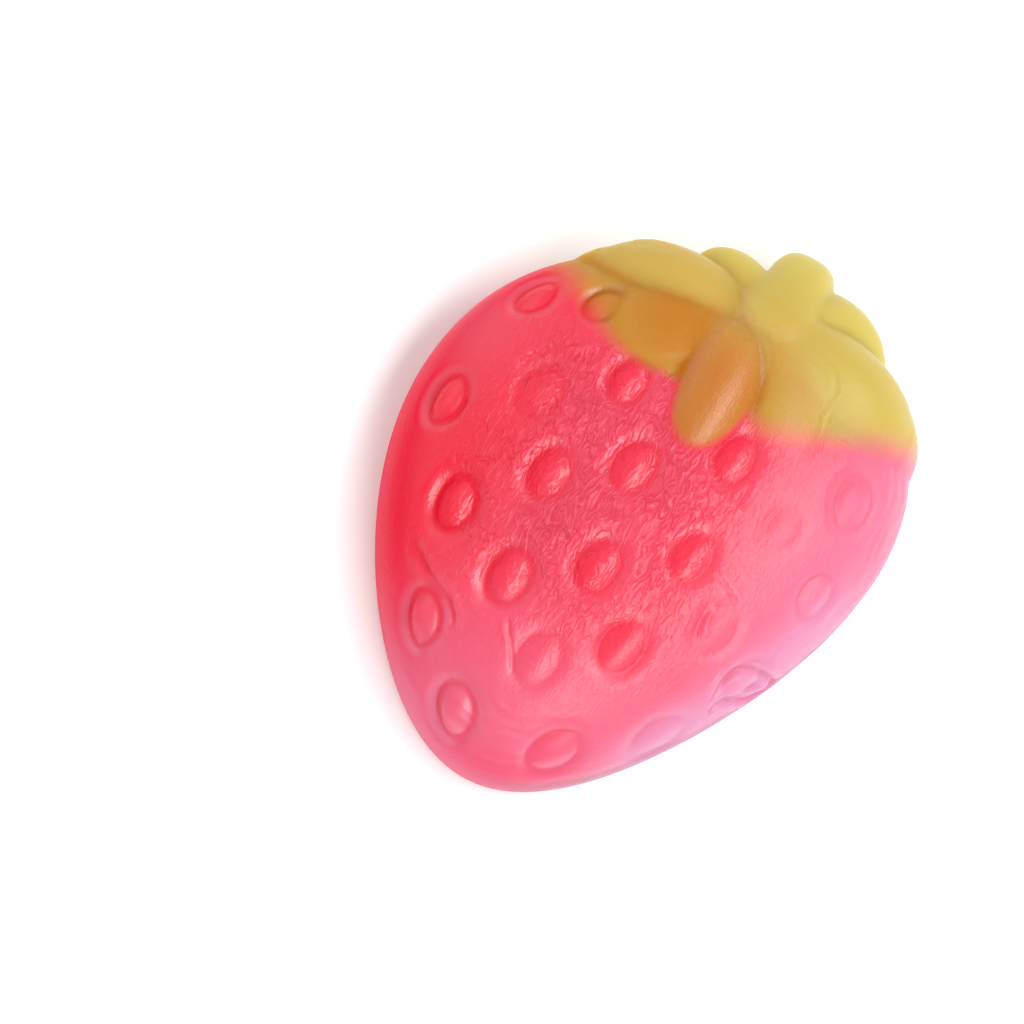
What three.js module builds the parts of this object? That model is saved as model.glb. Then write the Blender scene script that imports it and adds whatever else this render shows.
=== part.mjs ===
// Gummy strawberry: a sweet moulded in one piece, lying on its flat back.
// Millimetres, +Z up. The stem points along +Y and the tip along -Y.
// The origin is the middle of the footprint, on the surface that the sweet rests on.
//
// The skin is a low dome over an egg-shaped outline. Seed pits are sunk into it and the
// leaves and the stem are raised on it, all along the dome's own normal. Every point of the
// skin comes from a point of a flat disc: the disc's middle is the top of the dome and its
// edge is the edge of the flat back.

import * as THREE from 'three';

// Body: how long and wide the outline is, and how the dome rises over it.
const TIP_Y = -22.2;
const SHOULDER_Y = 19.25;
const HALF_WIDTH = 17.25;
const SHOULDER_SPREAD = 4.8;
const LEAN = 0.25;
const BOW = 0.5;
const SLANT = 2.0;
const TOP = { x: 0.2, y: 2.1, z: 11.6 };
const CROWN_POWER = 2.2;
const WALL_POWER = 3.2;
const EDGE_RADIUS = 1.3;
const EDGE_SHARE = 0.07;

// Seeds: an oval pit with a rounded seed standing in it, a little to the right. slope and
// bend say how the pit's wall falls from its rim, and foot how deep the seed's edge lies.
// The seeds point along lines that run from the tip to the stem: reach is how far those
// lines go, and lean tips them all. Each place is [x, y, size, depth], the last two as
// shares of the pit's.
const PIT = { halfWidth: 2.35, halfLength: 3.0, slope: 0.7, bend: 4.2, rimJoin: 0.06 };
const SEED = { halfWidth: 1.4, halfLength: 2.15, shift: 0.2, foot: 0.5, height: 0.54, join: 0.35 };
const SEED_LINE = { reach: 27, lean: 0.12 };
const SEED_PLACES = [
  [-9.4, 10.2, 0.85, 1.0], [-13.7, 8.7, 0.9, 0.8], [13.0, 7.0, 1.05, 0.6],
  [-5.3, 5.8, 0.9, 1.0], [3.8, 4.8, 0.95, 0.9], [9.2, 2.5, 0.9, 0.25],
  [-10.2, 2.1, 1.05, 0.5], [-2.1, 0.6, 1.0, 1.0], [13.8, -0.1, 0.9, 0.5],
  [-15.6, -1.0, 1.0, 1.2], [-6.9, -2.7, 1.0, 1.0], [4.5, -2.8, 0.95, 0.8],
  [8.6, -6.1, 0.95, 0.4], [-0.9, -6.7, 1.0, 1.0], [-11.6, -7.5, 1.05, 1.4],
  [12.3, -7.6, 0.9, 0.6], [-5.9, -10.3, 1.05, 1.2], [3.4, -10.6, 1.05, 0.8],
  [-1.3, -14.2, 1.0, 0.5], [9.1, -14.0, 1.1, 0.5], [-9.5, -15.3, 1.05, 1.2],
  [3.2, -18.8, 1.05, 0.8], [-4.4, -19.8, 1.1, 1.2],
];

// Calyx: each leaf runs from its base over a middle point to its tip, all in plan.
// begins is how much of its outline is lost in the crown and fullest is where it is widest,
// both as shares of its length. blunt is how full its ends are: 2 is an oval and 4 is nearly
// square. edge is how steep its edge is: 2 is a round back and 4 is nearly level with a steep
// edge. root is how thick it is where it starts, as a share of its lift, and full is how far
// along it has its whole lift, which is half its length unless given. join is how softly it
// meets the leaves before it in the list. Where the leaves reach the height PITS_END_AT, the
// seed pits have faded out.
const LEAVES = [
  { name: 'front right', from: [1.9, 15.2], via: [5.1, 11.4], to: [6.7, 6.4], halfWidth: 3.1,
    lift: 0.9, begins: 0.45, fullest: 0.5, blunt: 3.0, edge: 2, root: 1.4, join: 1.2 },
  { name: 'right', from: [1.9, 15.8], via: [8.8, 14.9], to: [16.9, 14.2], halfWidth: 4.5,
    lift: 3.5, begins: 0.45, fullest: 0.5, blunt: 2.8, edge: 1.6, root: 0.35, full: 1.0,
    join: 1.2 },
  { name: 'back right', from: [2.4, 16.8], via: [6.8, 18.4], to: [11.5, 17.4], halfWidth: 2.5,
    lift: 2.4, begins: 0.35, fullest: 0.55, blunt: 2.6, edge: 3, root: 0.75, join: 0.4 },
  { name: 'front', from: [-0.2, 14.4], via: [0.4, 8.8], to: [0.0, 3.2], halfWidth: 2.9,
    lift: 1.2, begins: 0.05, fullest: 0.45, blunt: 2.3, edge: 2.4, root: 1.05, join: 0.2 },
  { name: 'front left', from: [0.2, 14.8], via: [-4.0, 11.7], to: [-7.9, 8.2], halfWidth: 3.8,
    lift: 0.65, begins: 0.3, fullest: 0.55, blunt: 3.0, edge: 3, root: 0.9, join: 0.25 },
  { name: 'left', from: [0.2, 15.8], via: [-6.0, 15.1], to: [-11.1, 14.7], halfWidth: 2.95,
    lift: 1.7, begins: 0.3, fullest: 0.6, blunt: 3.8, edge: 2.6, root: 0.5, join: 0.4 },
  { name: 'back left', from: [0.6, 16.6], via: [-2.4, 17.8], to: [-4.8, 17.8], halfWidth: 2.0,
    lift: 1.8, begins: 0.35, fullest: 0.55, blunt: 2.4, edge: 3, root: 0.85, join: 0.4 },
];
const MIDRIB_STEPS = 10;
const FOOT_JOIN = 0.25;
const PITS_END_AT = 0.4;

// Crown and stem: a flat round boss where the leaves meet, and a thumb-like stem that
// grows out of it over the shoulder. What meets the wall runs straight down to the back.
const CROWN = { at: [1.9, 16.2], radius: 3.5, lift: 1.5, edge: 3 };
const STEM = { from: [1.5, 15.4], to: [2.65, 19.0], halfWidth: 2.5, liftFrom: 1.2, liftTo: 3.4 };
const STEM_EDGE_POWER = 3.0;
const STEM_JOIN = 1.2;
const SKIRT_Z = 4.0;

// Facets: rings of triangles, split until they follow the skin this closely.
const RINGS = 17;
const TOLERANCE = 0.075;
const SHORTEST_EDGE = 0.28;
const SPLIT_PASSES = 5;

const JELLY_COLOUR = 0xf2506c;

// A point of the outline, seen from the top of the dome. Turn 0 is the stem end.
function outline(turn) {
  const c = Math.cos(turn);
  const s = Math.sin(turn);
  const middle = (SHOULDER_Y + TIP_Y) / 2;
  const reach = (SHOULDER_Y - TIP_Y) / 2;
  const x = (HALF_WIDTH + SHOULDER_SPREAD * c) * s + LEAN * c + BOW * c * c;
  const y = middle + reach * c + SLANT * s;
  return new THREE.Vector2(x - TOP.x, y - TOP.y);
}

// The plain dome and its rounded lower edge, at a point of the disc.
function plainSkin(disc) {
  const far = disc.length();
  const turn = Math.atan2(disc.x, disc.y);
  const rim = outline(turn);
  const domeShare = 1 - EDGE_SHARE;
  if (far <= domeShare) {
    const rise = (far / domeShare) * Math.PI / 2;
    const spread = Math.sin(rise) ** (2 / CROWN_POWER);
    const height = Math.max(0, Math.cos(rise)) ** (2 / WALL_POWER);
    const z = EDGE_RADIUS + (TOP.z - EDGE_RADIUS) * height;
    return new THREE.Vector3(TOP.x + spread * rim.x, TOP.y + spread * rim.y, z);
  }
  const roll = ((far - domeShare) / EDGE_SHARE) * Math.PI / 2;
  const spread = 1 - EDGE_RADIUS * (1 - Math.cos(roll)) / rim.length();
  const z = EDGE_RADIUS * (1 - Math.sin(roll));
  return new THREE.Vector3(TOP.x + spread * rim.x, TOP.y + spread * rim.y, z);
}

// The dome's outward normal, from two short steps along the skin toward the top.
function plainNormal(disc) {
  const step = 1e-4;
  const far = disc.length();
  if (far < 10 * step) return new THREE.Vector3(0, 0, 1);
  const here = plainSkin(disc);
  const inward = disc.clone().multiplyScalar(1 - step / far);
  const along = disc.clone().rotateAround(new THREE.Vector2(), -step / far);
  const up = plainSkin(inward).sub(here);
  const side = plainSkin(along).sub(here);
  return up.cross(side).normalize();
}

// The point of the disc whose skin lies above a place in plan.
function discBelow(x, y) {
  const aim = new THREE.Vector2(x - TOP.x, y - TOP.y);
  const wanted = Math.atan2(aim.x, aim.y);
  let turn = wanted;
  for (let i = 0; i < 60; i++) {
    const rim = outline(turn);
    const miss = wanted - Math.atan2(rim.x, rim.y);
    turn += 0.8 * Math.atan2(Math.sin(miss), Math.cos(miss));
  }
  const spread = Math.min(1, aim.length() / outline(turn).length());
  const rise = Math.asin(spread ** (CROWN_POWER / 2));
  const far = (1 - EDGE_SHARE) * rise / (Math.PI / 2);
  return new THREE.Vector2(far * Math.sin(turn), far * Math.cos(turn));
}

function skinAbove(x, y) {
  return plainSkin(discBelow(x, y));
}

// A line of points that lies on the dome above a bent line in plan.
function midrib(from, via, to) {
  const points = [];
  for (let i = 0; i <= MIDRIB_STEPS; i++) {
    const t = i / MIDRIB_STEPS;
    const parts = [(1 - t) * (1 - 2 * t), 4 * t * (1 - t), t * (2 * t - 1)];
    const x = parts[0] * from[0] + parts[1] * via[0] + parts[2] * to[0];
    const y = parts[0] * from[1] + parts[1] * via[1] + parts[2] * to[1];
    points.push(skinAbove(x, y));
  }
  return points;
}

// How far a point lies from a line of points, and how far along the line it is.
function nearest(points, p) {
  const best = { away: Infinity, along: 0 };
  for (let i = 0; i + 1 < points.length; i++) {
    const stretch = points[i + 1].clone().sub(points[i]);
    const share = p.clone().sub(points[i]).dot(stretch) / stretch.lengthSq();
    const t = Math.min(1, Math.max(0, share));
    const away = points[i].clone().addScaledVector(stretch, t).distanceTo(p);
    if (away < best.away) {
      best.away = away;
      best.along = (i + t) / (points.length - 1);
    }
  }
  return best;
}

const leaves = LEAVES.map((leaf) => ({
  ...leaf,
  rib: midrib(leaf.from, leaf.via, leaf.to),
  skew: Math.log(0.5) / Math.log(leaf.fullest),
}));

const stemMiddle = [(STEM.from[0] + STEM.to[0]) / 2, (STEM.from[1] + STEM.to[1]) / 2];
const stemRib = midrib(STEM.from, stemMiddle, STEM.to);
const crownPoint = skinAbove(...CROWN.at);

const seeds = SEED_PLACES.map(([x, y, size, deep]) => {
  const disc = discBelow(x, y);
  const normal = plainNormal(disc);
  const lean = SEED_LINE.lean - x * y / (SEED_LINE.reach ** 2 - y ** 2);
  const across = new THREE.Vector3(lean, 1, 0).cross(normal).normalize();
  const along = normal.clone().cross(across);
  return { at: plainSkin(disc), across, along, size, deep };
});

// A puffy leaf: level along its midrib and falling to its edge. Outside it is below zero.
function leafLift(leaf, p) {
  const { away, along } = nearest(leaf.rib, p);
  const reach = (leaf.begins + (1 - leaf.begins) * along) ** leaf.skew;
  const lengthwise = Math.abs(2 * reach - 1) ** leaf.blunt;
  const share = (lengthwise + (away / leaf.halfWidth) ** leaf.blunt) ** (1 / leaf.blunt);
  const grown = THREE.MathUtils.smoothstep(along, 0, leaf.full ?? 0.5);
  const thick = leaf.root + (1 - leaf.root) * grown;
  return leaf.lift * thick * (1 - share ** leaf.edge);
}

function crownLift(p) {
  const share = p.distanceTo(crownPoint) / CROWN.radius;
  return CROWN.lift * (1 - share ** CROWN.edge);
}

function stemLift(p) {
  const { away, along } = nearest(stemRib, p);
  const share = away / STEM.halfWidth;
  const lift = STEM.liftFrom + (STEM.liftTo - STEM.liftFrom) * along;
  return lift * Math.sqrt(1 - Math.min(share, 1) ** STEM_EDGE_POWER) - Math.max(share - 1, 0);
}

// The higher of two reliefs, with the valley between them rounded.
function join(first, second, soft) {
  const near = Math.max(soft - Math.abs(first - second), 0) / soft;
  return Math.max(first, second) + near ** 2 * soft / 4;
}

// How deep the seed pits sink the skin here, less the seed that stands in each.
function pitDepth(p) {
  let depth = 0;
  for (const seed of seeds) {
    const offset = p.clone().sub(seed.at);
    const side = offset.dot(seed.across) / seed.size;
    const length = offset.dot(seed.along) / seed.size;
    const share = Math.hypot(side / PIT.halfWidth, length / PIT.halfLength);
    if (offset.length() > 2 * PIT.halfLength) continue;
    const inSeed = Math.hypot((side - SEED.shift) / SEED.halfWidth, length / SEED.halfLength);
    const wall = PIT.slope * (1 - share) + PIT.bend * Math.max(1 - share, 0) ** 3;
    const bowl = -join(wall, 0, PIT.rimJoin);
    const top = SEED.height * (1 - inSeed ** 2) - SEED.foot;
    depth -= seed.deep * join(bowl, top, SEED.join);
  }
  return depth;
}

function relief(p) {
  const held = new THREE.Vector3(p.x, p.y, Math.max(p.z, SKIRT_Z));
  let raised = join(crownLift(held), stemLift(held), STEM_JOIN);
  for (const leaf of leaves) raised = join(raised, leafLift(leaf, held), leaf.join);
  raised = join(raised, 0, FOOT_JOIN);
  const bare = 1 - THREE.MathUtils.smoothstep(raised, 0, PITS_END_AT);
  return raised - pitDepth(p) * bare;
}

// The finished skin. Below the widest place the relief is pushed straight out, so that the
// leaves and the stem keep their outline down to the back.
function skin(disc) {
  const p = plainSkin(disc);
  const push = plainNormal(disc);
  push.z = Math.max(0, push.z);
  if (push.length() > 1e-6) push.normalize();
  return p.clone().addScaledVector(push, relief(p));
}

// Rings of points on the disc, six more in each ring, and the triangles between them.
function discMesh(rings) {
  const points = [new THREE.Vector2()];
  const first = [0];
  for (let k = 1; k <= rings; k++) {
    first.push(points.length);
    for (let j = 0; j < 6 * k; j++) {
      const turn = (j / (6 * k)) * 2 * Math.PI;
      points.push(new THREE.Vector2(Math.sin(turn), Math.cos(turn)).multiplyScalar(k / rings));
    }
  }
  const at = (k, j) => (k === 0 ? 0 : first[k] + (j % (6 * k)));
  const triangles = [];
  for (let k = 1; k <= rings; k++) {
    for (let side = 0; side < 6; side++) {
      for (let i = 0; i < k; i++) {
        const inner = at(k - 1, side * (k - 1) + i);
        triangles.push([at(k, side * k + i + 1), at(k, side * k + i), inner]);
        if (i === k - 1) continue;
        const next = at(k - 1, side * (k - 1) + i + 1);
        triangles.push([at(k, side * k + i + 1), inner, next]);
      }
    }
  }
  return { points, triangles };
}

// A point between two points of the disc that keeps its distance from the middle.
function between(a, b, t) {
  const p = a.clone().lerp(b, t);
  const far = a.length() * (1 - t) + b.length() * t;
  return p.lengthSq() > 0 ? p.setLength(far) : p;
}

// Edges that stray from the skin are halved, and the triangles on both sides follow.
function splitOnce(mesh) {
  const halves = new Map();
  const halfOf = (i, j) => {
    const key = i < j ? `${i} ${j}` : `${j} ${i}`;
    if (halves.has(key)) return halves.get(key);
    halves.set(key, strays(mesh, i, j) ? mesh.points.length : -1);
    if (halves.get(key) >= 0) {
      const middle = between(mesh.points[i], mesh.points[j], 0.5);
      mesh.points.push(middle);
      mesh.skin.push(skin(middle));
    }
    return halves.get(key);
  };
  mesh.triangles = mesh.triangles.flatMap((corners) => {
    const middles = corners.map((corner, i) => halfOf(corner, corners[(i + 1) % 3]));
    return splitTriangle(mesh, corners, middles);
  });
}

function strays(mesh, i, j) {
  const a = mesh.skin[i];
  const b = mesh.skin[j];
  if (a.distanceTo(b) < 2 * SHORTEST_EDGE) return false;
  return [0.25, 0.5, 0.75].some((t) => {
    const straight = a.clone().lerp(b, t);
    const real = skin(between(mesh.points[i], mesh.points[j], t));
    return straight.distanceTo(real) > TOLERANCE;
  });
}

function splitTriangle(mesh, corners, middles) {
  const cut = middles.filter((m) => m >= 0).length;
  if (cut === 0) return [corners];
  if (cut === 3) {
    const [a, b, c] = corners;
    const [ab, bc, ca] = middles;
    return [[a, ab, ca], [b, bc, ab], [c, ca, bc], [ab, bc, ca]];
  }
  const start = cut === 1 ? middles.findIndex((m) => m >= 0) : (middles.indexOf(-1) + 1) % 3;
  const [a, b, c] = [0, 1, 2].map((i) => corners[(start + i) % 3]);
  const [ab, bc] = [0, 1].map((i) => middles[(start + i) % 3]);
  if (cut === 1) return [[a, ab, c], [ab, b, c]];
  const length = (i, j) => mesh.skin[i].distanceTo(mesh.skin[j]);
  if (length(a, bc) < length(ab, c)) return [[ab, b, bc], [a, ab, bc], [a, bc, c]];
  return [[ab, b, bc], [a, ab, c], [ab, bc, c]];
}

// The flat back: a fan of triangles inside the edge, seen from below.
function closeBack(mesh) {
  const middle = mesh.points.length;
  mesh.points.push(new THREE.Vector2());
  mesh.skin.push(new THREE.Vector3(TOP.x, TOP.y, 0));
  const onEdge = (i) => i !== middle && mesh.points[i].length() > 1 - 1e-6;
  const backs = [];
  for (const corners of mesh.triangles) {
    corners.forEach((corner, i) => {
      const next = corners[(i + 1) % 3];
      if (onEdge(corner) && onEdge(next)) backs.push([next, corner, middle]);
    });
  }
  mesh.triangles.push(...backs);
}

function strawberryGeometry() {
  const mesh = discMesh(RINGS);
  mesh.skin = mesh.points.map(skin);
  for (let pass = 0; pass < SPLIT_PASSES; pass++) splitOnce(mesh);
  closeBack(mesh);
  const geometry = new THREE.BufferGeometry();
  const numbers = mesh.skin.flatMap((p) => [p.x, p.y, p.z]);
  geometry.setAttribute('position', new THREE.Float32BufferAttribute(numbers, 3));
  geometry.setIndex(mesh.triangles.flat());
  geometry.computeBoundingBox();
  const middle = geometry.boundingBox.getCenter(new THREE.Vector3());
  geometry.translate(-middle.x, -middle.y, 0);
  geometry.computeVertexNormals();
  return geometry;
}

const jelly = new THREE.MeshStandardMaterial({
  color: JELLY_COLOUR, roughness: 0.4, metalness: 0,
});
const strawberry = new THREE.Mesh(strawberryGeometry(), jelly);
strawberry.name = 'gummy_strawberry';

const sweet = new THREE.Group();
sweet.add(strawberry);

export default sweet;
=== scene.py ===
"""Gummy strawberry: the jelly's skin with its wrinkles, translucent material, floor, light and camera.

The shape is worked out in millimetres, in the part's own frame, and built in metres.
Every point of the skin comes from a place on a flat disc: how far it is from the disc's
middle, from 0 to 1, and its turn, which is 0 at the stem end and grows toward +X.
"""

import math

import bpy
import numpy as np
from mathutils import Matrix, Vector


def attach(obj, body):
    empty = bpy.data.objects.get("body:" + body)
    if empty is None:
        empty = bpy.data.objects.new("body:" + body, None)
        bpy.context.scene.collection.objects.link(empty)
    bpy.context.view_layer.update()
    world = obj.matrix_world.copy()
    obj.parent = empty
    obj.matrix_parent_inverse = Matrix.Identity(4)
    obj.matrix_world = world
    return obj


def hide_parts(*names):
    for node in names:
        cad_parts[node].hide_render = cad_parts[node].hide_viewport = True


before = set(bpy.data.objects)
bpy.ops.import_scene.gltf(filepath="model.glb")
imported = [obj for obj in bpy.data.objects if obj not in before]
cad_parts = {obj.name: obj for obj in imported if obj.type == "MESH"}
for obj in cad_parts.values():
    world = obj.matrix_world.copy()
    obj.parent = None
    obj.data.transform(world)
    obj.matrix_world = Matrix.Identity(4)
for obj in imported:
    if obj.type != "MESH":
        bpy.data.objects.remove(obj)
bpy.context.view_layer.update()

MM = 0.001

# Body: how long and wide the outline is, and how the dome rises over it.
TIP_Y = -22.2
SHOULDER_Y = 19.25
HALF_WIDTH = 17.25
SHOULDER_SPREAD = 4.8
LEAN = 0.25
BOW = 0.5
SLANT = 2.0
TOP = np.array([0.2, 2.1, 11.6])
CROWN_POWER = 2.2
WALL_POWER = 3.2
EDGE_RADIUS = 1.3
EDGE_SHARE = 0.07

# Seeds: an oval pit with a rounded seed standing in it, a little to the right. slope and
# bend say how the pit's wall falls from its rim, foot how deep the seed's edge lies. The
# seeds point along lines that run from the tip to the stem. A pit fades out where a leaf
# lies higher than PITS_END_AT. Each place is x, y, size and depth, the last two as shares.
PIT_HALF_WIDTH = 2.35
PIT_HALF_LENGTH = 3.0
PIT_SLOPE = 0.7
PIT_BEND = 4.2
PIT_RIM_JOIN = 0.06
SEED_HALF_WIDTH = 1.4
SEED_HALF_LENGTH = 2.15
SEED_SHIFT = 0.2
SEED_FOOT = 0.5
SEED_HEIGHT = 0.54
SEED_JOIN = 0.35
SEED_LINE_REACH = 27
SEED_LINE_LEAN = 0.12
PITS_END_AT = 0.4
SEEDS = [
    (-9.4, 10.2, 0.85, 1.0), (-13.7, 8.7, 0.9, 0.8), (13.0, 7.0, 1.05, 0.6), (-5.3, 5.8, 0.9, 1.0),
    (3.8, 4.8, 0.95, 0.9), (9.2, 2.5, 0.9, 0.25), (-10.2, 2.1, 1.05, 0.5), (-2.1, 0.6, 1.0, 1.0),
    (13.8, -0.1, 0.9, 0.5), (-15.6, -1.0, 1.0, 1.2), (-6.9, -2.7, 1.0, 1.0), (4.5, -2.8, 0.95, 0.8),
    (8.6, -6.1, 0.95, 0.4), (-0.9, -6.7, 1.0, 1.0), (-11.6, -7.5, 1.05, 1.4), (12.3, -7.6, 0.9, 0.6),
    (-5.9, -10.3, 1.05, 1.2), (3.4, -10.6, 1.05, 0.8), (-1.3, -14.2, 1.0, 0.5), (9.1, -14.0, 1.1, 0.5),
    (-9.5, -15.3, 1.05, 1.2), (3.2, -18.8, 1.05, 0.8), (-4.4, -19.8, 1.1, 1.2),
]

# Calyx: each leaf runs from its base over a middle point to its tip, all in plan. base is
# how far along its outline a leaf starts, fullest where it is widest, power how blunt its
# outline is, and edge how steep its edge is. root is how thick it is at its base, as a
# share of lift, and full how far along it gets its whole lift. tone runs from 0 for an
# orange leaf to 1 for a yellow-green one. join is how softly a leaf meets the ones before it
# in the list, LEAF_JOIN unless given.
LEAVES = {
    "front_right": dict(start=(1.9, 15.2), via=(5.1, 11.4), end=(6.7, 6.4), half_width=3.1,
                        lift=0.9, base=0.45, fullest=0.5, power=3.0, edge=2, root=1.4, tone=0.5,
                        join=1.2),
    "right": dict(start=(1.9, 15.8), via=(8.8, 14.9), end=(16.9, 14.2), half_width=4.5,
                  lift=3.5, base=0.45, fullest=0.5, power=2.8, edge=1.6, root=0.35, full=1.0,
                  tone=0.9, join=1.2),
    "back_right": dict(start=(2.4, 16.8), via=(6.8, 18.4), end=(11.5, 17.4), half_width=2.5,
                       lift=2.4, base=0.35, fullest=0.55, power=2.6, edge=3, root=0.75, tone=1.0),
    "front": dict(start=(-0.2, 14.4), via=(0.4, 8.8), end=(0.0, 3.2), half_width=2.9,
                  lift=1.2, base=0.05, fullest=0.45, power=2.3, edge=2.4, root=1.05, tone=0.1,
                  join=0.2),
    "front_left": dict(start=(0.2, 14.8), via=(-4.0, 11.7), end=(-7.9, 8.2), half_width=3.8,
                       lift=0.65, base=0.3, fullest=0.55, power=3.0, edge=3, root=0.9, tone=0.12,
                       join=0.25),
    "left": dict(start=(0.2, 15.8), via=(-6.0, 15.1), end=(-11.1, 14.7), half_width=2.95,
                 lift=1.7, base=0.3, fullest=0.6, power=3.8, edge=2.6, root=0.5, tone=0.76),
    "back_left": dict(start=(0.6, 16.6), via=(-2.4, 17.8), end=(-4.8, 17.8), half_width=2.0,
                      lift=1.8, base=0.35, fullest=0.55, power=2.4, edge=3, root=0.85, tone=1.0),
}
MIDRIB_STEPS = 10
LEAF_JOIN = 0.4
FOOT_JOIN = 0.25

# Tones of the crown, the stem and the leaves' bases, and of the skin between the leaves. The
# bare skin's tone grows from left to right, and it is less close to the front leaf.
CROWN_TONE = 0.9
STEM_TONE = 1.0
LEAF_BASE_TONE = 0.7
LEAF_BASE_SHARE = 0.6
BARE_TONE = 0.35
BARE_TONE_RIGHT = 0.45
BARE_TONE_FRONT = 0.3
BARE_WEIGHT = 0.05

# Crown and stem: a flat round boss where the leaves meet, and a thumb-like stem on it.
CROWN_AT = (1.9, 16.2)
CROWN_RADIUS = 3.5
CROWN_LIFT = 1.5
CROWN_EDGE = 3
STEM_START = (1.5, 15.4)
STEM_END = (2.65, 19.0)
STEM_HALF_WIDTH = 2.5
STEM_LIFT_START = 1.2
STEM_LIFT_END = 3.4
STEM_EDGE_POWER = 3.0
STEM_JOIN = 1.2
SKIRT_Z = 4.0

# The skin's mesh: a point in the middle and this many rings round it, each of six more points.
RINGS = 178

# Creases, deeper folds, lines between the leaves and soft ridges that show one by one, as
# lines in plan.
CREASES = [
    [(-6.0, -5.1), (-4.6, -5.6), (-3.6, -6.0), (-2.4, -6.1)],
    [(-4.4, -12.6), (-3.8, -13.5), (-2.9, -14.7), (-2.2, -15.8)],
    [(4.9, 0.3), (4.0, 0.1), (3.2, -1.0), (3.0, -2.1), (3.4, -3.7), (4.2, -4.6)],
    [(5.8, -2.5), (7.4, -3.1), (8.6, -3.7), (9.8, -4.3)],
    [(5.6, 4.1), (5.7, 2.5), (5.0, 1.0)],
]
CREASE_WIDTH = 0.18
CREASE_HEIGHT = -0.16
FOLDS = [
    [(-12.4, -10.8), (-11.0, -12.1), (-9.9, -12.8), (-8.7, -13.4), (-7.7, -14.2), (-7.2, -15.4)],
    [(11.1, -10.0), (11.1, -9.0), (11.3, -8.0), (12.3, -6.8), (13.7, -6.4), (14.7, -5.9)],
    [(11.2, -10.7), (11.9, -9.5), (13.2, -8.4), (14.0, -7.1), (14.6, -5.8)],
]
FOLD_WIDTH = 0.3
FOLD_HEIGHT = -0.36
LEAF_LINES = [
    [(-1.7, 15.9), (-0.9, 14.9), (0.4, 13.9), (2.2, 12.8), (3.0, 11.6), (3.1, 10.0)],
    [(-1.5, 10.5), (-1.4, 11.7), (-1.0, 13.0), (-0.3, 13.8), (0.8, 13.9)],
    [(6.3, 14.0), (7.2, 13.2), (7.8, 11.9), (8.0, 10.5), (8.3, 8.7)],
]
LEAF_LINE_WIDTH = 0.16
LEAF_LINE_HEIGHT = -0.05
RIDGES = [
    [(-6.7, 7.9), (-7.2, 6.8), (-7.0, 5.4), (-6.4, 4.4)],
    [(-8.1, 7.2), (-9.1, 6.2), (-9.9, 5.4)],
    [(-10.8, 5.6), (-11.9, 4.6), (-12.4, 3.5), (-12.5, 2.3)],
    [(-2.6, 3.8), (-3.4, 2.5), (-3.7, 1.0), (-3.5, -0.6)],
    [(-6.8, 3.2), (-6.6, 1.7), (-6.8, 0.5), (-5.8, -0.8)],
    [(-8.4, -0.7), (-9.0, -1.9), (-9.0, -3.3), (-8.4, -4.2)],
    [(-2.8, -4.9), (-3.1, -6.3), (-2.7, -7.9), (-1.7, -9.2)],
    [(7.9, -4.7), (7.6, -5.7), (8.1, -7.0)],
]
RIDGE_WIDTH = 0.26
RIDGE_HEIGHT = 0.14

# Where the leaves' colour ends and the body's begins, from left to right, and how soft
# the change is, as pairs of a place across and a softness.
COLOUR_LINE = [
    (-13.8, 12.5), (-12.4, 11.6), (-10.6, 10.2), (-9.0, 8.9), (-7.8, 8.0), (-4.3, 7.3),
    (2.9, 7.9), (4.8, 7.8), (7.2, 8.8), (10.7, 10.8), (15.0, 12.9), (17.0, 14.0),
]
COLOUR_SOFT = [(-12, 2.2), (-8.5, 1.4), (-6, 0.6), (0, 0.6), (6, 1.5)]

# Colours of the jelly, as they look on a screen.
BODY_DEEP = (236, 20, 59)
# Pale colour: partly the jelly's own paler tone where it is thin, partly painted sheen and glow of the
# light from the right.
BODY_PALE_AND_SHEEN = (224, 149, 183)
# Painted shade along the right edge and the tip.
BODY_EDGE_SHADE = (176, 80, 120)
LEAF_ORANGE = (194, 112, 4)
LEAF_GREEN = (200, 184, 92)
FLOOR_WHITE = (250, 250, 250)

# Floor and room light, in metres and shares.
FLOOR_HALF = 3.0
FLOOR_DROP = 0.05 * MM
FLOOR_GLOW = 0.15
ROOM_LIGHT = 0.38

# The photo's view: the camera looks down, a little from the tip's side and the left, and
# the strawberry lies turned in the picture.
PITCH_TO_TIP = math.radians(14)
LEAN_LEFT = math.radians(4)
ROLL = math.radians(30.5)
LENS = 120
SENSOR = 36
VIEW_WIDTH = 73.67 * MM
# The middle of the picture, in millimetres from the part's origin, across and along the view.
AIM_ACROSS = -6.88
AIM_ALONG = -4.18
AIM_SHIFT_Y = 0.6
CLIP_START = 0.01

# The wrinkled patch of the body: its middle and reach in plan. Then how high the finest
# relief stands: wrinkles, low lumps, the lines along the edge and the veins of the leaves.
WRINKLED_AT = (-4.2, -0.5)
WRINKLED_REACH = (8.2, 10)
WRINKLED_LEAST = 0.02
WORM_HEIGHT = 0.05
LUMP_HEIGHT = 0.04
EDGE_LINE_HEIGHT = 0.045
VEIN_HEIGHT = 0.02

# The wrinkles' and the grain's bumps in the material, and how far light spreads in the jelly.
WORM_SCALE = 2300
WORM_STRETCH = (1, 0.4, 1)
WORM_BUMP = 0.12 * MM
GRAIN_SCALE = 7000
GRAIN_BUMP = 0.025 * MM
ROUGHNESS = 0.36
SPREAD_OF_LIGHT = 4 * MM
SPREAD_OF_COLOURS = (1, 0.5, 0.5)

# What each noise starts from, so that it comes out the same each time. wander and bend take
# three in a row.
NOISE = dict(wander=11, bend=14, worms=18, lumps=20, edge_bend=23, edge_lines=24, veins=31,
             colour_line=41, patches=51)


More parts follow.
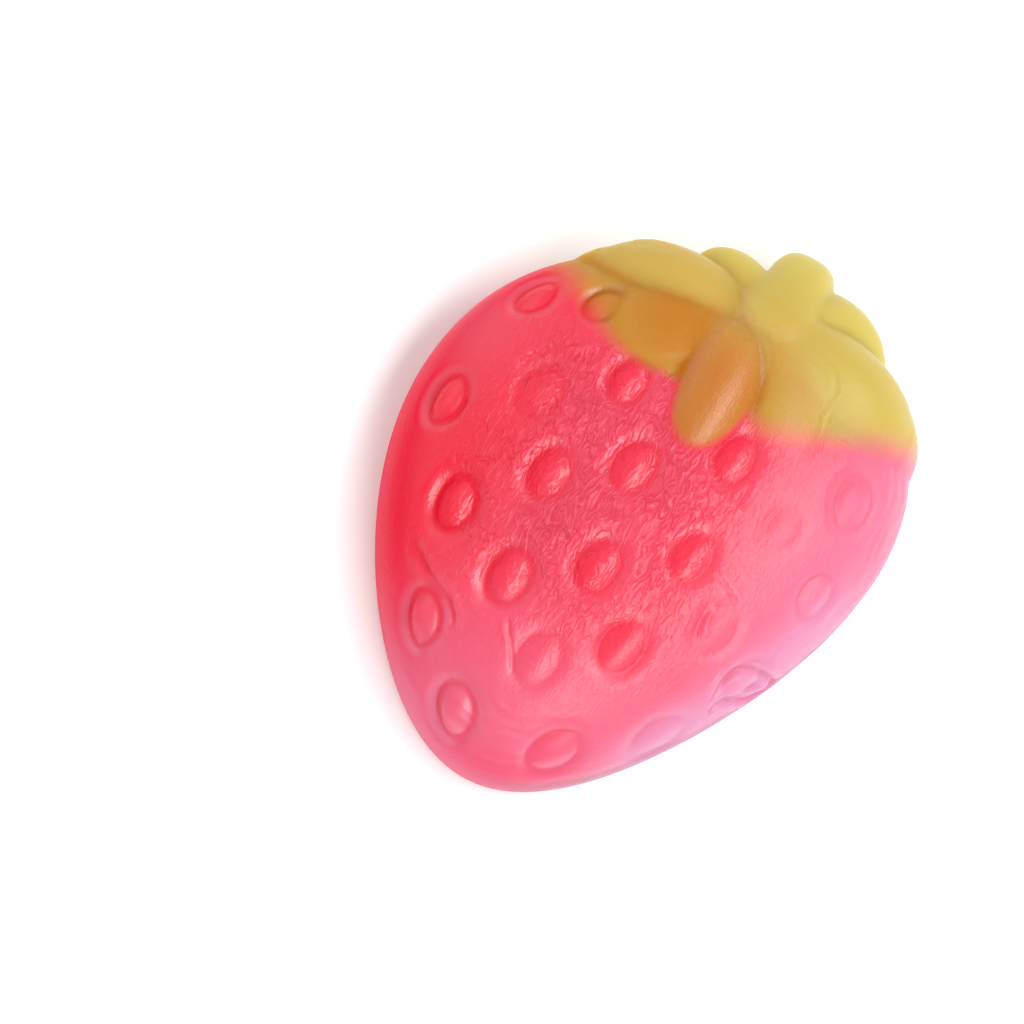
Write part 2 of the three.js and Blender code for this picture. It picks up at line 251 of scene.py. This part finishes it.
def outline(turn):
    """A point of the outline, seen from the top of the dome."""
    c, s = np.cos(turn), np.sin(turn)
    middle = (SHOULDER_Y + TIP_Y) / 2
    reach = (SHOULDER_Y - TIP_Y) / 2
    x = (HALF_WIDTH + SHOULDER_SPREAD * c) * s + LEAN * c + BOW * c * c
    y = middle + reach * c + SLANT * s
    return x - TOP[0], y - TOP[1]


def plain_skin(far, turn):
    """The plain dome and its rounded lower edge."""
    rim_x, rim_y = outline(turn)
    dome_share = 1 - EDGE_SHARE
    rise = np.minimum(far / dome_share, 1) * math.pi / 2
    roll = np.clip((far - dome_share) / EDGE_SHARE, 0, 1) * math.pi / 2
    tuck = EDGE_RADIUS * (1 - np.cos(roll)) / np.hypot(rim_x, rim_y)
    spread = np.sin(rise) ** (2 / CROWN_POWER) - tuck
    height = np.clip(np.cos(rise), 0, 1) ** (2 / WALL_POWER)
    z = EDGE_RADIUS * (1 - np.sin(roll)) + (TOP[2] - EDGE_RADIUS) * height
    return np.stack([TOP[0] + spread * rim_x, TOP[1] + spread * rim_y, z], axis=-1)


def unit(vectors):
    """The same directions with a length of 1."""
    length = np.linalg.norm(vectors, axis=-1, keepdims=True)
    return vectors / np.maximum(length, 1e-9)


def plain_normal(far, turn):
    """The dome's outward normal, from two short steps along the skin."""
    step = 1e-4
    safe = np.maximum(far, 10 * step)
    here = plain_skin(safe, turn)
    up = plain_skin(safe - step, turn) - here
    side = plain_skin(safe, turn + step / safe) - here
    normal = unit(np.cross(up, side))
    normal[far < 10 * step] = (0, 0, 1)
    return normal


def disc_below(x, y):
    """The place on the disc whose skin lies above a place in plan."""
    x, y = np.asarray(x, float) - TOP[0], np.asarray(y, float) - TOP[1]
    wanted = np.arctan2(x, y)
    turn = wanted.copy()
    for _ in range(60):
        miss = wanted - np.arctan2(*outline(turn))
        turn += 0.8 * np.arctan2(np.sin(miss), np.cos(miss))
    spread = np.minimum(1, np.hypot(x, y) / np.hypot(*outline(turn)))
    rise = np.arcsin(spread ** (CROWN_POWER / 2))
    return (1 - EDGE_SHARE) * rise / (math.pi / 2), turn


def skin_above(places):
    """The points of the dome above places in plan."""
    places = np.atleast_2d(places)
    return plain_skin(*disc_below(places[:, 0], places[:, 1]))


def midrib(start, via, end):
    """A line of points on the dome above a bent line in plan."""
    t = np.linspace(0, 1, MIDRIB_STEPS + 1)[:, None]
    parts = (1 - t) * (1 - 2 * t), 4 * t * (1 - t), t * (2 * t - 1)
    return skin_above(sum(part * np.array(place) for part, place in zip(parts, (start, via, end))))


def nearest(line, p):
    """How far points lie from a line, how far along it, and on which side, seen from above."""
    best, along, side = np.full(len(p), np.inf), np.zeros(len(p)), np.zeros(len(p))
    for i, (a, b) in enumerate(zip(line[:-1], line[1:])):
        stretch = b - a
        t = np.clip((p - a) @ stretch / (stretch @ stretch), 0, 1)
        offset = p - a - t[:, None] * stretch
        away = np.linalg.norm(offset, axis=1)
        closer = away < best
        best = np.where(closer, away, best)
        along = np.where(closer, (i + t) / (len(line) - 1), along)
        turned = stretch[0] * offset[:, 1] - stretch[1] * offset[:, 0]
        side = np.where(closer, np.sign(turned), side)
    return best, along, side


def leaf_lift(leaf, p):
    """A puffy leaf: level along its midrib, with a steep edge all round."""
    away, along, side = nearest(midrib(leaf["start"], leaf["via"], leaf["end"]), p)
    skew = math.log(0.5) / math.log(leaf["fullest"])
    lengthwise = np.abs(2 * (leaf["base"] + (1 - leaf["base"]) * along) ** skew - 1)
    power = leaf["power"]
    share = (lengthwise ** power + (away / leaf["half_width"]) ** power) ** (1 / power)
    thick = leaf["root"] + (1 - leaf["root"]) * smoothstep(along, 0, leaf.get("full", 0.5))
    lift = leaf["lift"] * thick * (1 - share ** leaf["edge"])
    return lift, away * side, along


def crown_lift(p):
    """The boss: flat in its middle, and falling all round."""
    share = np.linalg.norm(p - skin_above(CROWN_AT)[0], axis=1) / CROWN_RADIUS
    return CROWN_LIFT * (1 - share ** CROWN_EDGE)


def stem_lift(p):
    """The stem stub: rounded across, and thicker toward its free end."""
    middle = [(a + b) / 2 for a, b in zip(STEM_START, STEM_END)]
    away, along, _ = nearest(midrib(STEM_START, middle, STEM_END), p)
    share = away / STEM_HALF_WIDTH
    lift = STEM_LIFT_START + (STEM_LIFT_END - STEM_LIFT_START) * along
    return lift * np.sqrt(1 - np.minimum(share, 1) ** STEM_EDGE_POWER) - np.maximum(share - 1, 0)


def join(first, second, soft):
    """The higher of two reliefs, with the valley between them rounded."""
    near = np.maximum(soft - np.abs(first - second), 0) / soft
    return np.maximum(first, second) + near ** 2 * soft / 4


def smoothstep(value, low, high):
    """A share that runs softly from 0 to 1 as a value goes from low to high."""
    t = np.clip((value - low) / (high - low), 0, 1)
    return t * t * (3 - 2 * t)


def pit_axes(x, y):
    """The middle of a seed pit on the dome, and the directions across and along it."""
    far, turn = disc_below(x, y)
    normal = plain_normal(np.array([far]), np.array([turn]))[0]
    line = np.array([SEED_LINE_LEAN - x * y / (SEED_LINE_REACH ** 2 - y ** 2), 1, 0])
    across = unit(np.cross(line, normal))
    return plain_skin(far, turn), across, np.cross(normal, across)


def pit_shape(p, x, y, size):
    """One pit's own shape: the bowl, the seed in it, how far out a point lies as a share of
    the pit, and how far to the right."""
    at, across, along = pit_axes(x, y)
    offset = p - at
    side, length = offset @ across / size, offset @ along / size
    out = np.hypot(side / PIT_HALF_WIDTH, length / PIT_HALF_LENGTH)
    in_seed = np.hypot((side - SEED_SHIFT) / SEED_HALF_WIDTH, length / SEED_HALF_LENGTH)
    apart = np.linalg.norm(offset, axis=1) > 2 * PIT_HALF_LENGTH
    # What lies far off, also on the other side of the dome, counts as well outside.
    out[apart] = in_seed[apart] = 9
    wall = PIT_SLOPE * (1 - out) + PIT_BEND * np.maximum(1 - out, 0) ** 3
    bowl = -join(wall, 0, PIT_RIM_JOIN)
    seed = SEED_HEIGHT * (1 - in_seed ** 2) - SEED_FOOT
    return bowl, seed, out, side


def highlit_share(bowl, seed, out, side):
    """Where a pit catches its highlights: on its left wall and on the right half of its seed."""
    on_wall = smoothstep(bowl - seed, 0.1, 0.35) * smoothstep(-side, -0.8, 0.5)
    on_wall *= smoothstep(1 - out, 0.04, 0.3)
    on_seed = smoothstep(seed - bowl, 0.28, 0.55) * smoothstep(side - SEED_SHIFT, -0.5, 0.6)
    return on_wall + on_seed


def pit_depth(p):
    """How deep the seed pits sink the skin, less the seed in each. What lies in a pit, what lies well
    inside it, and where it catches highlights are given too, all fainter in a shallow pit."""
    depth, inside, well_inside, highlit = (np.zeros(len(p)) for _ in range(4))
    for x, y, size, deep in SEEDS:
        bowl, seed, out, side = pit_shape(p, x, y, size)
        depth -= deep * join(bowl, seed, SEED_JOIN)
        shown = min(1.2 * deep, 1) ** 2
        inside = np.maximum(inside, shown * smoothstep(1 - out, 0, 0.12))
        well_inside = np.maximum(well_inside, shown * smoothstep(1 - out, 0.15, 0.45))
        highlit = np.maximum(highlit, shown * highlit_share(bowl, seed, out, side))
    return depth, inside, well_inside, highlit


def gradient_noise(points, cell, seed):
    """Smooth noise from about -1 to 1. cell is the size of one lump, or its sizes along x, y
    and z."""
    draw = np.random.default_rng(seed)
    slopes = unit(draw.normal(size=(256, 3)))
    shuffle = draw.permutation(256)
    place = points / np.broadcast_to(np.asarray(cell, float), (3,))
    low = np.floor(place).astype(int)
    part = place - low
    fade = part ** 3 * (part * (part * 6 - 15) + 10)
    total = np.zeros(len(points))
    for corner in np.ndindex(2, 2, 2):
        key = low + corner
        pick = shuffle[(shuffle[(shuffle[key[:, 0] % 256] + key[:, 1]) % 256] + key[:, 2]) % 256]
        weight = np.prod(np.where(corner, fade, 1 - fade), axis=1)
        total += weight * np.sum(slopes[pick] * (part - corner), axis=1)
    return total * 1.6


def smooth_line(places, steps=6):
    """A rounded line through places in plan, laid on the dome."""
    places = np.array(places, float)
    padded = np.vstack([2 * places[0] - places[1], places, 2 * places[-1] - places[-2]])
    points = []
    for a, b, c, d in zip(padded, padded[1:], padded[2:], padded[3:]):
        for t in np.arange(steps) / steps:
            points.append(0.5 * (2 * b + (c - a) * t + (2 * a - 5 * b + 4 * c - d) * t ** 2
                                 + (3 * b - a - 3 * c + d) * t ** 3))
    return skin_above(np.array(points + [places[-1]]))


def shift_softly(p, cell, reach, seed):
    """The same points, each moved a little by smooth noise."""
    moves = [gradient_noise(p, cell, seed + i) for i in range(3)]
    return p + reach * np.stack(moves, axis=1)


def line_relief(p, lines, width, height):
    """Ridges that wander a little along lines, with a shallow dip beside each. Below 0 the
    height makes them creases with a soft lip."""
    moved = shift_softly(p, 1.1, 0.18, NOISE["wander"])
    total = np.zeros(len(p))
    for line in lines:
        away, along, _ = nearest(smooth_line(line), moved)
        fade = np.sqrt(np.clip(4 * along * (1 - along), 0, 1))
        share = away / width
        total += fade * height * (np.exp(-share ** 2) - 0.45 * np.exp(-(share - 2) ** 2))
    return total


def leather(p):
    """Wrinkled skin: worm-like ridges that run mostly lengthwise, over low lumps."""
    bent = shift_softly(p, 2.2, 0.7, NOISE["bend"])
    worms = 1 - np.abs(gradient_noise(bent, (0.6, 1.4, 0.7), NOISE["worms"]))
    lumps = gradient_noise(p, (1.3, 2.2, 1.3), NOISE["lumps"])
    return WORM_HEIGHT * worms ** 4 + LUMP_HEIGHT * lumps


def edge_lines(p, gap):
    """Fine lines that follow the outline at the right and the tip. gap is the distance to it."""
    bent = gap + 0.5 * gradient_noise(p, 3.0, NOISE["edge_bend"])
    place = np.stack([bent, p[:, 0] * 0.12, p[:, 1] * 0.12], axis=1)
    at_right = smoothstep(p[:, 0], 11, 14) * smoothstep(5 - gap, 0, 3)
    at_tip = smoothstep(-15 - p[:, 1], 0, 3)
    lines = gradient_noise(place, 0.42, NOISE["edge_lines"])
    return EDGE_LINE_HEIGHT * lines * np.clip(at_right + at_tip, 0, 1)


def leaf_veins(lifts, places):
    """Faint veins that run along whichever leaf lies on top, other ones on each leaf."""
    top = np.argmax([lifts[name] for name in LEAVES], axis=0)
    across, along = np.stack([places[name] for name in LEAVES])[top, :, np.arange(len(top))].T
    place = np.column_stack([across, 0.75 * along, 7.3 * top])
    return VEIN_HEIGHT * gradient_noise(place, 0.33, NOISE["veins"])


def skin_points(rings):
    """The places on the disc: one in the middle and six more in each ring."""
    k = np.repeat(np.arange(1, rings + 1), 6 * np.arange(1, rings + 1))
    j = np.concatenate([np.arange(6 * ring) for ring in range(1, rings + 1)])
    far = np.concatenate([[0], k / rings])
    turn = np.concatenate([[0], j / (6 * k) * 2 * math.pi])
    return far, turn


def skin_triangles(rings):
    """The triangles between the rings, seen from above."""
    triangles = []
    for k in range(1, rings + 1):
        outer, inner = 3 * k * (k - 1) + 1, 3 * (k - 1) * (k - 2) + 1
        for j in range(6 * k):
            side, i = divmod(j, k)
            near = side * (k - 1) + i
            a = outer + (j + 1) % (6 * k)
            b = inner + near % (6 * (k - 1)) if k > 1 else 0
            triangles.append((a, outer + j, b))
            if i < k - 1:
                triangles.append((a, b, inner + (near + 1) % (6 * (k - 1))))
    return triangles


def back_triangles(rings, middle):
    """The flat back, as a fan round its middle point."""
    edge = 3 * rings * (rings - 1) + 1
    return [(edge + j, edge + (j + 1) % (6 * rings), middle) for j in range(6 * rings)]


def calyx_relief(plain):
    """How far the leaves, the crown and the stem raise the skin together and each on its own,
    and the place across and along each leaf. Below SKIRT_Z they run straight down."""
    held = plain.copy()
    held[:, 2] = np.maximum(held[:, 2], SKIRT_Z)
    crown, stem = crown_lift(held), stem_lift(held)
    raised = join(crown, stem, STEM_JOIN)
    lifts, places = {}, {}
    for name, leaf in LEAVES.items():
        lifts[name], across, along = leaf_lift(leaf, held)
        places[name] = np.stack([across, along])
        raised = join(raised, lifts[name], leaf.get("join", LEAF_JOIN))
    lifts.update(crown=crown, stem=stem)
    return join(raised, 0, FOOT_JOIN), lifts, places


def edge_gap(plain, turn):
    """How far each point lies from the edge of the outline, in plan."""
    reach = np.hypot(*outline(turn))
    out = np.hypot(plain[:, 0] - TOP[0], plain[:, 1] - TOP[1])
    return reach * np.clip(1 - out / reach, 0, 1)


def wrinkled_share(p, body):
    """How wrinkled the skin is: most on the left half of the dome, in patches."""
    x, y = ((p[:, i] - WRINKLED_AT[i]) / WRINKLED_REACH[i] for i in range(2))
    patchy = smoothstep(gradient_noise(p, 3.2, NOISE["patches"]), -0.7, 0.4)
    wrinkled = np.exp(-x ** 4 - y ** 4) * (0.3 + 0.7 * patchy)
    return WRINKLED_LEAST + body * (WRINKLED_LEAST + 0.96 * wrinkled)


def body_detail(p, gap, wrinkled, in_pit):
    """The wrinkles, creases, folds, ridges and edge lines of the body, weaker in the pits."""
    single = (line_relief(p, CREASES, CREASE_WIDTH, CREASE_HEIGHT)
              + line_relief(p, FOLDS, FOLD_WIDTH, FOLD_HEIGHT)
              + line_relief(p, RIDGES, RIDGE_WIDTH, RIDGE_HEIGHT))
    return wrinkled * (1 - in_pit) * leather(p) + (1 - 0.7 * in_pit) * single + edge_lines(p, gap)


def relief_and_colour(plain, far, turn):
    """How far each point of the skin is raised, and the values that colour it."""
    raised, lifts, places = calyx_relief(plain)
    bare = 1 - smoothstep(raised, 0, PITS_END_AT)
    gap = edge_gap(plain, turn)
    calyx = calyx_share(plain, lifts)
    wrinkled = wrinkled_share(plain, bare * (1 - calyx))
    depth, in_pit, well_in_pit, highlit = pit_depth(plain)
    in_pit, well_in_pit = in_pit * bare, well_in_pit * bare
    highlit *= smoothstep(bare, 0, 0.5)

    fine = bare * body_detail(plain, gap, wrinkled, in_pit)
    fine += line_relief(plain, LEAF_LINES, LEAF_LINE_WIDTH, LEAF_LINE_HEIGHT)
    fine += (1 - bare) * leaf_veins(lifts, places)
    above_floor = smoothstep(plain[:, 2], 0.4, 3.0)
    relief = raised - depth * bare + fine * above_floor

    flank = left_flank(plain, far, turn)
    # Painted highlight arcs and streaks in the pits on the steep flank. Deep in every pit the colour
    # is less pale, as painted shade.
    pale_and_sheen = pale_and_sheen_share(plain, gap) + 0.17 * highlit * flank - 0.08 * well_in_pit
    return relief, {
        "calyx": calyx,
        # Deep in the pits the calyx colour turns more orange, as painted shade.
        "green": green_share(plain, lifts, places) * (1 - 0.7 * well_in_pit),
        "pale_and_sheen": np.clip(pale_and_sheen, 0, 1),
        # Painted shade along the right edge and the tip.
        "edge": edge_shade_share(plain, gap),
        "wrinkled": wrinkled * (1 - 0.65 * in_pit),
        "gloss": gloss_share(plain, lifts["front"], flank, calyx, bare, well_in_pit, highlit),
    }


def calyx_share(p, lifts):
    """1 where the jelly has the leaves' colour, 0 on the body, and soft between."""
    line = np.array(COLOUR_LINE)
    soft = np.interp(p[:, 0], *np.array(COLOUR_SOFT).T)
    wobble = 0.25 * gradient_noise(p, 2.5, NOISE["colour_line"])
    over = p[:, 1] + wobble - np.interp(p[:, 0], line[:, 0], line[:, 1])
    share = smoothstep(over / soft, -1, 1)
    front = np.maximum(lifts["front"], lifts["front_left"])
    return np.maximum(share, smoothstep(front, 0.05, 0.5))


def green_share(p, lifts, places):
    """0 where the calyx is orange, 1 where it is yellow-green. What lies higher counts more."""
    tones = []
    for name, leaf in LEAVES.items():
        at_base = LEAF_BASE_SHARE * smoothstep(-places[name][1], -0.5, 0)
        tones.append(leaf["tone"] + (LEAF_BASE_TONE - leaf["tone"]) * at_base)
    bare_tone = BARE_TONE + BARE_TONE_RIGHT * smoothstep(p[:, 0], 1, 9)
    bare_tone -= BARE_TONE_FRONT * smoothstep(lifts["front"], -0.8, 0)
    tones += [np.full(len(p), CROWN_TONE), np.full(len(p), STEM_TONE), bare_tone]
    weights = np.maximum(list(lifts.values()), 0) ** 4
    weights = np.vstack([weights, np.full(len(p), BARE_WEIGHT)])
    return (np.array(tones) * weights).sum(axis=0) / weights.sum(axis=0)


def pale_and_sheen_share(p, gap):
    """The jelly looks paler toward the right side and the tip: partly a paler jelly where it is thin,
    partly painted sheen of the light from the right, strongest along the right edge. A painted sheen
    lies on the upper left shoulder, and the tip's edge is a little less pale. gap is the distance to
    the edge of the outline."""
    x, y = p[:, 0], p[:, 1]
    left = smoothstep(-x, 5, 14)
    right = smoothstep(0.97 * x - 0.12 * y, 4, 15)
    low = smoothstep(-y, 8, 20) * smoothstep(x, -18, -6)
    # Painted sheen along the right edge.
    right_edge = smoothstep(4.5 - gap, 0, 3.5) * smoothstep(x, 5, 10) * smoothstep(6 - y, 0, 8)
    tip_edge = smoothstep(2.5 - gap, 0, 2) * smoothstep(-y, 15, 19) * smoothstep(x, -6, 0)
    # Painted sheen on the upper left shoulder.
    sheen = np.exp(-((x + 14.5) / 4) ** 2 - ((y - 5) / 5) ** 2)
    pale_and_sheen = 0.18 * (1 - left) + 0.46 * right + 0.27 * low + 0.4 * right_edge - 0.1 * tip_edge
    return pale_and_sheen + 0.12 * sheen


def edge_shade_share(p, gap):
    """Painted shade: the edge is darker at the right and at the tip, most of all in a thin line."""
    at_right = smoothstep(p[:, 0] - 0.25 * p[:, 1], 3, 12) * smoothstep(8 - p[:, 1], 0, 6)
    return at_right * (0.2 * smoothstep(4 - gap, 0, 3.5) + 0.6 * smoothstep(0.5 - gap, 0, 0.4))


def left_flank(p, far, turn):
    """1 on the steep flank at the left and the tip, which is duller than the dome, else 0."""
    steep = smoothstep(0.85 - plain_normal(far, turn)[:, 2], 0, 0.35)
    return steep * smoothstep(9 - p[:, 0], 0, 9)


def gloss_share(p, front, flank, calyx, bare, well_in_pit, highlit):
    """How glossy the skin is: dull on the flank, on the calyx, deep in the pits and in the creases
    left of the front leaf, and bright on that leaf and where a pit catches its highlights."""
    gloss = (1 - 0.9 * flank) * (1 - 0.45 * calyx)
    gloss += (0.5 - gloss) * well_in_pit + 1.35 * highlit + 0.7 * smoothstep(front, 0.1, 0.6)
    in_crease = 4 * bare * (1 - bare)
    return gloss * (1 - 0.8 * in_crease * smoothstep(5 - p[:, 0], 0, 3))


def make_skin():
    """The jelly's one skin, and the place of its footprint's middle, which becomes the origin."""
    far, turn = skin_points(RINGS)
    plain = plain_skin(far, turn)
    push = plain_normal(far, turn)
    push[:, 2] = np.maximum(push[:, 2], 0)
    relief, values = relief_and_colour(plain, far, turn)
    skin = plain + unit(push) * relief[:, None]
    skin[far >= 1, 2] = 0
    middle = (skin.min(axis=0) + skin.max(axis=0)) / 2
    middle[2] = 0
    points = np.vstack([skin, (TOP[0], TOP[1], 0)]) - middle
    dome, back = skin_triangles(RINGS), back_triangles(RINGS, len(skin))

    mesh = bpy.data.meshes.new("jelly_skin")
    mesh.from_pydata((points * MM).tolist(), [], dome + back)
    mesh.polygons.foreach_set("use_smooth", [True] * len(dome) + [False] * len(back))
    for name, value in values.items():
        mesh.attributes.new(name, "FLOAT", "POINT").data.foreach_set("value", np.append(value, 0))
    return add_object("jelly_skin", mesh), middle


def add_object(name, data):
    """A new object of the scene."""
    new = bpy.data.objects.new(name, data)
    bpy.context.collection.objects.link(new)
    return new


def linear(colour):
    """A screen colour as the shader's own numbers."""
    shares = [part / 255 for part in colour]
    return (*[s / 12.92 if s <= 0.04045 else ((s + 0.055) / 1.055) ** 2.4 for s in shares], 1)


def feed(tree, socket, value):
    """Give a socket its value: a plain one, or what another node gives."""
    if isinstance(value, bpy.types.NodeSocket):
        tree.links.new(value, socket)
    else:
        socket.default_value = value


def attribute(tree, name):
    """A value that the mesh holds at each of its points."""
    node = tree.nodes.new("ShaderNodeAttribute")
    node.attribute_name = name
    return node.outputs["Fac"]


def mix(tree, share, first, second):
    """The first colour where the share is 0, the second where it is 1."""
    node = tree.nodes.new("ShaderNodeMix")
    node.data_type = "RGBA"
    feed(tree, node.inputs["Factor"], share)
    feed(tree, node.inputs["A"], first)
    feed(tree, node.inputs["B"], second)
    return node.outputs["Result"]


def calculate(tree, operation, first, second):
    """The result of one sum on two values."""
    node = tree.nodes.new("ShaderNodeMath")
    node.operation = operation
    feed(tree, node.inputs[0], first)
    feed(tree, node.inputs[1], second)
    return node.outputs["Value"]


def noise(tree, place, scale, detail):
    """A noise texture, laid out by a place."""
    node = tree.nodes.new("ShaderNodeTexNoise")
    node.inputs["Scale"].default_value = scale
    node.inputs["Detail"].default_value = detail
    tree.links.new(place, node.inputs["Vector"])
    return node


def bump(tree, height, distance, below=None):
    """The skin's direction, bent by a height, on top of the bumps below it."""
    node = tree.nodes.new("ShaderNodeBump")
    node.inputs["Distance"].default_value = distance
    tree.links.new(height, node.inputs["Height"])
    if below is not None:
        tree.links.new(below, node.inputs["Normal"])
    return node.outputs["Normal"]


def jelly_colour(tree):
    """Pink-red on the body, paler where it is thin and under painted sheen and highlights, darker
    under painted shade at the edge and in the pits, and orange to yellow-green on the calyx.
    """
    body = mix(tree, attribute(tree, "pale_and_sheen"), linear(BODY_DEEP), linear(BODY_PALE_AND_SHEEN))
    # Painted shade along the right edge and the tip.
    body = mix(tree, attribute(tree, "edge"), body, linear(BODY_EDGE_SHADE))
    leaf = mix(tree, attribute(tree, "green"), linear(LEAF_ORANGE), linear(LEAF_GREEN))
    return mix(tree, attribute(tree, "calyx"), body, leaf)


def jelly_bumps(tree):
    """The finest wrinkles, where the skin is wrinkled, and a faint grain all over."""
    place = tree.nodes.new("ShaderNodeTexCoord").outputs["Object"]
    stretch = tree.nodes.new("ShaderNodeMapping")
    stretch.inputs["Scale"].default_value = WORM_STRETCH
    tree.links.new(place, stretch.inputs["Vector"])
    worms = noise(tree, stretch.outputs["Vector"], WORM_SCALE, detail=2)
    worms.noise_type = "RIDGED_MULTIFRACTAL"
    worms.inputs["Offset"].default_value = 1
    worms.inputs["Distortion"].default_value = 0.6
    sharp = calculate(tree, "POWER", worms.outputs["Fac"], 2)
    wrinkles = calculate(tree, "MULTIPLY", sharp, attribute(tree, "wrinkled"))
    grain = noise(tree, place, GRAIN_SCALE, detail=1)
    return bump(tree, grain.outputs["Fac"], GRAIN_BUMP, bump(tree, wrinkles, WORM_BUMP))


def jelly_material():
    """A satin jelly that light goes into and comes out of again."""
    material = bpy.data.materials.new("jelly")
    material.use_nodes = True
    tree = material.node_tree
    shader = tree.nodes["Principled BSDF"]
    shine = calculate(tree, "MULTIPLY", attribute(tree, "gloss"), 0.5)
    tree.links.new(jelly_colour(tree), shader.inputs["Base Color"])
    tree.links.new(jelly_bumps(tree), shader.inputs["Normal"])
    tree.links.new(shine, shader.inputs["Specular IOR Level"])
    shader.inputs["Roughness"].default_value = ROUGHNESS
    shader.inputs["IOR"].default_value = 1.5
    shader.inputs["Subsurface Weight"].default_value = 1
    shader.inputs["Subsurface Radius"].default_value = SPREAD_OF_COLOURS
    shader.inputs["Subsurface Scale"].default_value = SPREAD_OF_LIGHT
    return material


def add_floor():
    """A wide white floor, a hair below the flat back."""
    half, drop = FLOOR_HALF, FLOOR_DROP
    mesh = bpy.data.meshes.new("floor")
    corners = [(-half, -half, -drop), (half, -half, -drop), (half, half, -drop), (-half, half, -drop)]
    mesh.from_pydata(corners, [], [(0, 1, 2, 3)])
    material = bpy.data.materials.new("floor_white")
    material.use_nodes = True
    shader = material.node_tree.nodes["Principled BSDF"]
    shader.inputs["Base Color"].default_value = linear(FLOOR_WHITE)
    shader.inputs["Roughness"].default_value = 0.9
    shader.inputs["Emission Color"].default_value = (1, 1, 1, 1)
    shader.inputs["Emission Strength"].default_value = FLOOR_GLOW
    mesh.materials.append(material)
    add_object("floor", mesh)


def direction(azimuth, elevation):
    """Toward a light. Azimuth 0 is the side of +X and 90 the side of +Y."""
    a, e = math.radians(azimuth), math.radians(elevation)
    return Vector((math.cos(a) * math.cos(e), math.sin(a) * math.cos(e), math.sin(e)))


def add_sun(name, azimuth, elevation, spread, strength):
    """A soft, wide light from far away."""
    light = bpy.data.lights.new(name, "SUN")
    light.angle = math.radians(spread)
    light.energy = strength
    sun = add_object(name, light)
    sun.rotation_euler = direction(azimuth, elevation).to_track_quat("Z", "Y").to_euler()


def add_window(name, azimuth, elevation, distance, width, height, radiance):
    """A wide, soft window of light that faces the middle of the floor."""
    light = bpy.data.lights.new(name, "AREA")
    light.shape = "RECTANGLE"
    light.size = width
    light.size_y = height
    light.energy = radiance * math.pi * width * height
    window = add_object(name, light)
    away = direction(azimuth, elevation)
    window.location = away * distance
    window.rotation_euler = away.to_track_quat("Z", "Y").to_euler()


def add_light():
    """A bright room, a window that gives the streaks, and a soft light from the left."""
    world = bpy.data.worlds.new("room")
    bpy.context.scene.world = world
    world.use_nodes = True
    background = world.node_tree.nodes["Background"]
    background.inputs["Color"].default_value = (1, 1, 1, 1)
    background.inputs["Strength"].default_value = ROOM_LIGHT
    add_window("key", azimuth=-4, elevation=61, distance=1.5, width=2.4, height=0.6, radiance=6)
    add_sun("left", azimuth=165, elevation=22, spread=80, strength=1.0)


def add_camera(middle):
    """The photo's view. middle is where the part's origin lies in the dome's own plan."""
    view = Vector((-math.sin(LEAN_LEFT) * math.cos(PITCH_TO_TIP), -math.sin(PITCH_TO_TIP),
                   math.cos(LEAN_LEFT) * math.cos(PITCH_TO_TIP)))
    along = Vector((0, view.z, -view.y)).normalized()
    across = along.cross(view)
    right = across * math.cos(ROLL) + along * math.sin(ROLL)
    up = along * math.cos(ROLL) - across * math.sin(ROLL)
    aim = AIM_ACROSS * across + AIM_ALONG * along + Vector((0, AIM_SHIFT_Y, 0)) - Vector(middle)
    camera_data = bpy.data.cameras.new("camera")
    camera_data.lens = LENS
    camera_data.sensor_width = SENSOR
    camera_data.clip_start = CLIP_START
    camera = add_object("camera", camera_data)
    distance = VIEW_WIDTH * LENS / SENSOR
    turned = Matrix((right, up, view)).transposed().to_4x4()
    camera.matrix_world = Matrix.Translation(aim * MM + view * distance) @ turned
    bpy.context.scene.camera = camera


skin_object, skin_middle = make_skin()
skin_object.data.materials.append(jelly_material())
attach(skin_object, "root")
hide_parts("gummy_strawberry")

add_floor()
add_light()
add_camera(skin_middle)
bpy.context.scene.view_settings.view_transform = "Standard"
